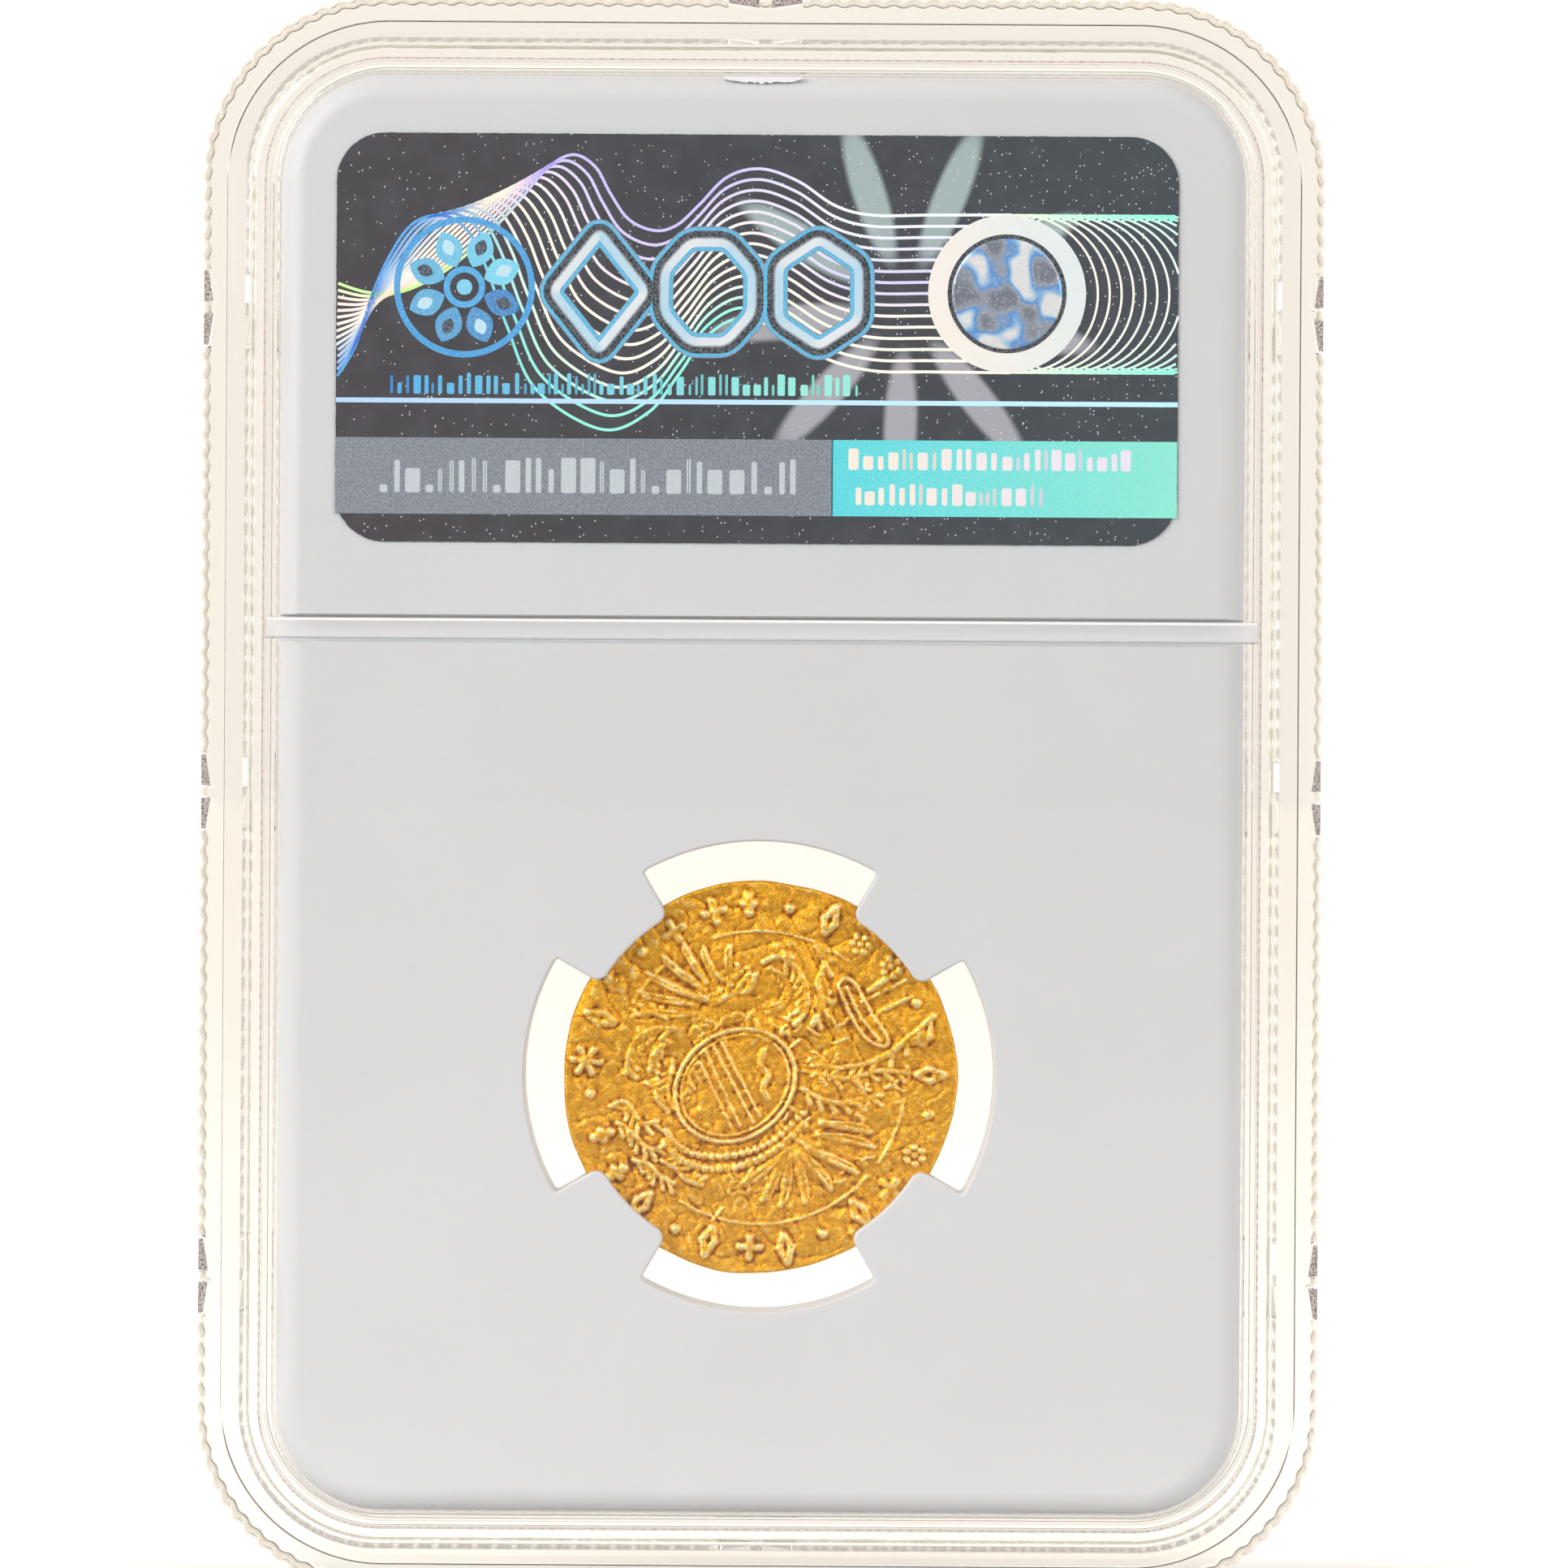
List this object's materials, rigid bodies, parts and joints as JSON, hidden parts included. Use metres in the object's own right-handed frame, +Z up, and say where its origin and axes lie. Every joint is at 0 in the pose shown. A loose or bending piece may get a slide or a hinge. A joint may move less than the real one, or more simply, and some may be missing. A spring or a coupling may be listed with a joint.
{
  "type": "graded coin slab",
  "caption": "Sealed clear plastic coin holder with ribbed edges and stacking ridges, a white core gripping a hammered gold coin, and a foil security label.",
  "frame": {"origin": "middle of the bottom edge, on the parting plane halfway through the thickness", "axes": "+X across the width, to the right when the rear is seen; +Y out of the front, so the rear with the security label faces -Y; +Z up the height"},
  "size_m": [0.0604, 0.0078, 0.0857],
  "materials": {
    "clear_shell": "clear injection-moulded plastic, polished windows",
    "clear_bead": "clear plastic, melted and slightly bubbly",
    "clear_bar": "clear plastic, polished",
    "white_core": "white moulded plastic, satin",
    "security_foil": "dark holographic foil with rainbow line work",
    "card": "printed white card",
    "coin_gold": "hammered gold, soft worn relief"
  },
  "bodies": {
    "root": {"rear_shell": "clear_shell", "front_shell": "clear_shell", "weld_bead": "clear_bead", "core": "white_core", "rear_divider_bar": "clear_bar", "front_divider_bar": "clear_bar", "security_label": "security_foil", "name_card": "card", "coin": "coin_gold"}
  },
  "joints": []
}
